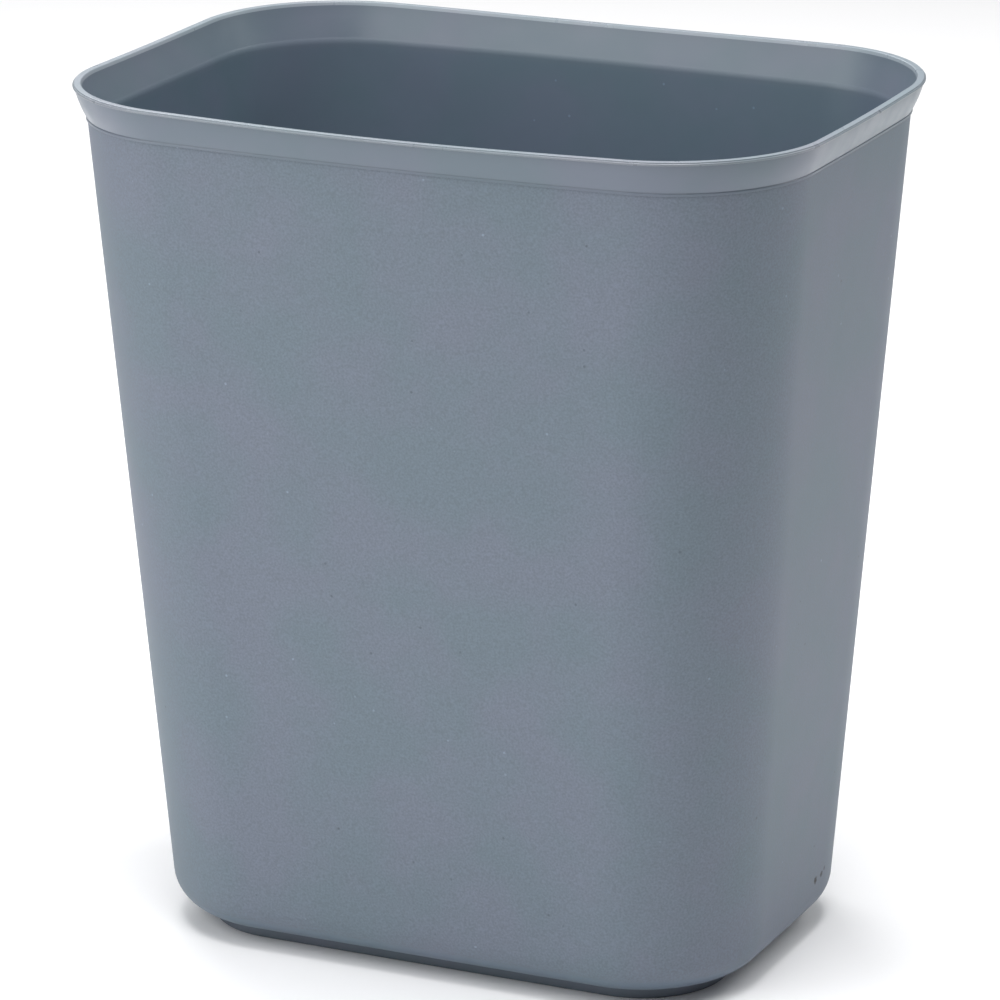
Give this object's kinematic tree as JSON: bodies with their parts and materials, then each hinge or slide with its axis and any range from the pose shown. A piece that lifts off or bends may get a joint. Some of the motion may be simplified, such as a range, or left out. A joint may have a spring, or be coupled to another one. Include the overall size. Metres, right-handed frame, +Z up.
{
  "type": "wastebasket",
  "caption": "Tapered rectangular office wastebasket with round corners, a flared smooth collar, a thin rim bead and a recessed foot.",
  "frame": {"origin": "centre of the standing face, on the floor", "axes": "+Z up, X along the long sides, Y along the short sides"},
  "size_m": [0.2722, 0.1964, 0.305],
  "materials": {
    "smooth_rim": "satin, as moulded, grey-blue",
    "grained_wall": "fine moulded grain, grey-blue",
    "foot": "satin, as moulded, grey-blue"
  },
  "bodies": {
    "root": {"rim_bead": "smooth_rim", "rim_collar": "smooth_rim", "side_wall": "grained_wall", "foot_ring": "foot", "floor_panel": "foot"}
  },
  "joints": []
}
